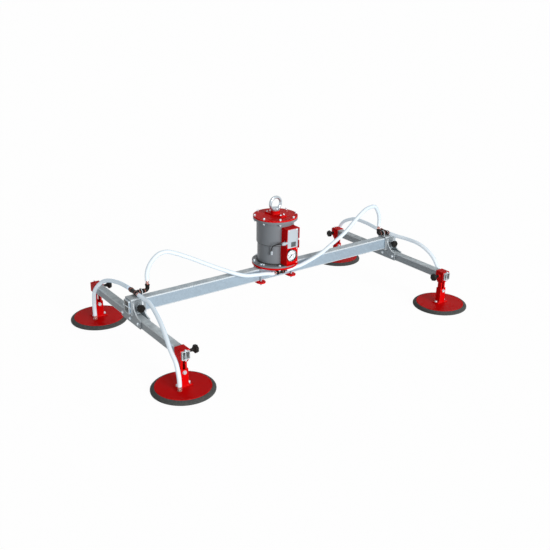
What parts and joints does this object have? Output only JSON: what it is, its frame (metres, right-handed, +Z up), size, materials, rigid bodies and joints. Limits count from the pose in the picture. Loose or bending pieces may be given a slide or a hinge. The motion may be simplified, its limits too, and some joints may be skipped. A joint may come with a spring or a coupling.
{
  "type": "mechanical vacuum lifter",
  "caption": "Mechanical vacuum lifter: a hand-adjusted spreader beam with cross arms, suction pads, hoses and a self-priming piston cylinder with a lifting eye, a gauge and an alarm unit",
  "frame": {"origin": "on the floor under the middle of the beam, at the level of the pads' lips", "axes": "+X runs along the main beam, with the instruments' front towards -Y, +Y along the cross arms, +Z up through the lifting eye"},
  "size_m": [2.36, 1.45, 0.7965],
  "materials": {
    "painted_red": "gloss paint",
    "galvanised": "galvanised",
    "painted_grey": "satin paint",
    "bright_steel": "bright",
    "cast_alloy": "cast",
    "black_plastic": "moulded",
    "rubber": "matt",
    "hose_plastic": "clear, drawn as near white",
    "pale_plastic": "satin",
    "dark_plastic": "satin",
    "clear_plastic": "polished"
  },
  "bodies": {
    "frame": {"main_beam": "galvanised", "base_plate": "painted_red", "cylinder_tube": "painted_grey", "upper_sleeve": "painted_grey", "top_cover": "painted_red", "guide_bush": "painted_red", "clamp_rod_front_left": "bright_steel", "clamp_rod_back_left": "bright_steel", "clamp_rod_front_right": "bright_steel", "clamp_rod_back_right": "bright_steel", "clamp_bar_left": "painted_red", "clamp_bar_right": "painted_red", "centre_tee": "black_plastic", "control_housing": "painted_red", "alarm_box": "pale_plastic", "gauge_case": "black_plastic", "gauge_lens": "clear_plastic", "sensor_plug": "pale_plastic", "sensor_cable": "dark_plastic", "main_hose_left": "hose_plastic", "main_hose_right": "hose_plastic"},
    "alarm_button": {"alarm_button": "dark_plastic"},
    "gauge_needle": {"gauge_needle": "black_plastic"},
    "lift_rod": {"lifting_eye": "bright_steel", "rod_head": "painted_red", "piston_rod": "bright_steel", "piston": "cast_alloy", "piston_seal": "rubber"},
    "saddle_left": {"saddle_left": "galvanised", "cross_arm_left": "galvanised", "end_fitting_left": "black_plastic", "branch_hose_front_left": "hose_plastic", "branch_hose_back_left": "hose_plastic"},
    "saddle_knob_left": {"saddle_knob_left": "black_plastic"},
    "saddle_right": {"saddle_right": "galvanised", "cross_arm_right": "galvanised", "end_fitting_right": "black_plastic", "branch_hose_front_right": "hose_plastic", "branch_hose_back_right": "hose_plastic"},
    "saddle_knob_right": {"saddle_knob_right": "black_plastic"},
    "bracket_front_left": {"pad_bracket_front_left": "painted_red"},
    "pad_front_left": {"pad_yoke_front_left": "painted_red", "pad_disc_front_left": "painted_red", "pad_seal_front_left": "rubber"},
    "pad_knob_front_left": {"pad_knob_front_left": "black_plastic"},
    "bracket_back_left": {"pad_bracket_back_left": "painted_red"},
    "pad_back_left": {"pad_yoke_back_left": "painted_red", "pad_disc_back_left": "painted_red", "pad_seal_back_left": "rubber"},
    "pad_knob_back_left": {"pad_knob_back_left": "black_plastic"},
    "bracket_front_right": {"pad_bracket_front_right": "painted_red"},
    "pad_front_right": {"pad_yoke_front_right": "painted_red", "pad_disc_front_right": "painted_red", "pad_seal_front_right": "rubber"},
    "pad_knob_front_right": {"pad_knob_front_right": "black_plastic"},
    "bracket_back_right": {"pad_bracket_back_right": "painted_red"},
    "pad_back_right": {"pad_yoke_back_right": "painted_red", "pad_disc_back_right": "painted_red", "pad_seal_back_right": "rubber"},
    "pad_knob_back_right": {"pad_knob_back_right": "black_plastic"}
  },
  "joints": [
    {"name": "rod_lift", "type": "slide", "parent": "frame", "child": "lift_rod", "axis": [0, 0, 1], "range_m": [0, 0.2]},
    {"name": "button_press", "type": "slide", "parent": "frame", "child": "alarm_button", "axis": [0, 1, 0], "range_m": [0, 0.003], "stiffness_N_per_m": 200},
    {"name": "needle_turn", "type": "hinge", "parent": "frame", "child": "gauge_needle", "pos_m": [0.0085, -0.1653, 0.4475], "axis": [0, 1, 0], "range_deg": [0, 270], "stiffness_Nm_per_rad": 0.0005},
    {"name": "saddle_slide_left", "type": "slide", "parent": "frame", "child": "saddle_left", "axis": [1, 0, 0], "range_m": [0, 0.65], "deforming": ["main_hose_left"]},
    {"name": "saddle_knob_turn_left", "type": "hinge", "parent": "saddle_left", "child": "saddle_knob_left", "pos_m": [-1, -0.046, 0.301], "axis": [0, -1, 0], "range_deg": [0, 360]},
    {"name": "saddle_slide_right", "type": "slide", "parent": "frame", "child": "saddle_right", "axis": [-1, 0, 0], "range_m": [0, 0.65], "deforming": ["main_hose_right"]},
    {"name": "saddle_knob_turn_right", "type": "hinge", "parent": "saddle_right", "child": "saddle_knob_right", "pos_m": [1, -0.046, 0.301], "axis": [0, -1, 0], "range_deg": [0, 360]},
    {"name": "bracket_slide_front_left", "type": "slide", "parent": "saddle_left", "child": "bracket_front_left", "axis": [0, 1, 0], "range_m": [0, 0.33], "deforming": ["branch_hose_front_left"]},
    {"name": "pad_lift_front_left", "type": "slide", "parent": "bracket_front_left", "child": "pad_front_left", "axis": [0, 0, 1], "range_m": [0, 0.036], "deforming": ["branch_hose_front_left"]},
    {"name": "pad_knob_turn_front_left", "type": "hinge", "parent": "bracket_front_left", "child": "pad_knob_front_left", "pos_m": [-0.959, -0.545, 0.22], "axis": [1, 0, 0], "range_deg": [0, 360]},
    {"name": "bracket_slide_back_left", "type": "slide", "parent": "saddle_left", "child": "bracket_back_left", "axis": [0, -1, 0], "range_m": [0, 0.33], "deforming": ["branch_hose_back_left"]},
    {"name": "pad_lift_back_left", "type": "slide", "parent": "bracket_back_left", "child": "pad_back_left", "axis": [0, 0, 1], "range_m": [0, 0.036], "deforming": ["branch_hose_back_left"]},
    {"name": "pad_knob_turn_back_left", "type": "hinge", "parent": "bracket_back_left", "child": "pad_knob_back_left", "pos_m": [-0.959, 0.545, 0.22], "axis": [1, 0, 0], "range_deg": [0, 360]},
    {"name": "bracket_slide_front_right", "type": "slide", "parent": "saddle_right", "child": "bracket_front_right", "axis": [0, 1, 0], "range_m": [0, 0.33], "deforming": ["branch_hose_front_right"]},
    {"name": "pad_lift_front_right", "type": "slide", "parent": "bracket_front_right", "child": "pad_front_right", "axis": [0, 0, 1], "range_m": [0, 0.036], "deforming": ["branch_hose_front_right"]},
    {"name": "pad_knob_turn_front_right", "type": "hinge", "parent": "bracket_front_right", "child": "pad_knob_front_right", "pos_m": [0.959, -0.545, 0.22], "axis": [-1, 0, 0], "range_deg": [0, 360]},
    {"name": "bracket_slide_back_right", "type": "slide", "parent": "saddle_right", "child": "bracket_back_right", "axis": [0, -1, 0], "range_m": [0, 0.33], "deforming": ["branch_hose_back_right"]},
    {"name": "pad_lift_back_right", "type": "slide", "parent": "bracket_back_right", "child": "pad_back_right", "axis": [0, 0, 1], "range_m": [0, 0.036], "deforming": ["branch_hose_back_right"]},
    {"name": "pad_knob_turn_back_right", "type": "hinge", "parent": "bracket_back_right", "child": "pad_knob_back_right", "pos_m": [0.959, 0.545, 0.22], "axis": [-1, 0, 0], "range_deg": [0, 360]}
  ]
}
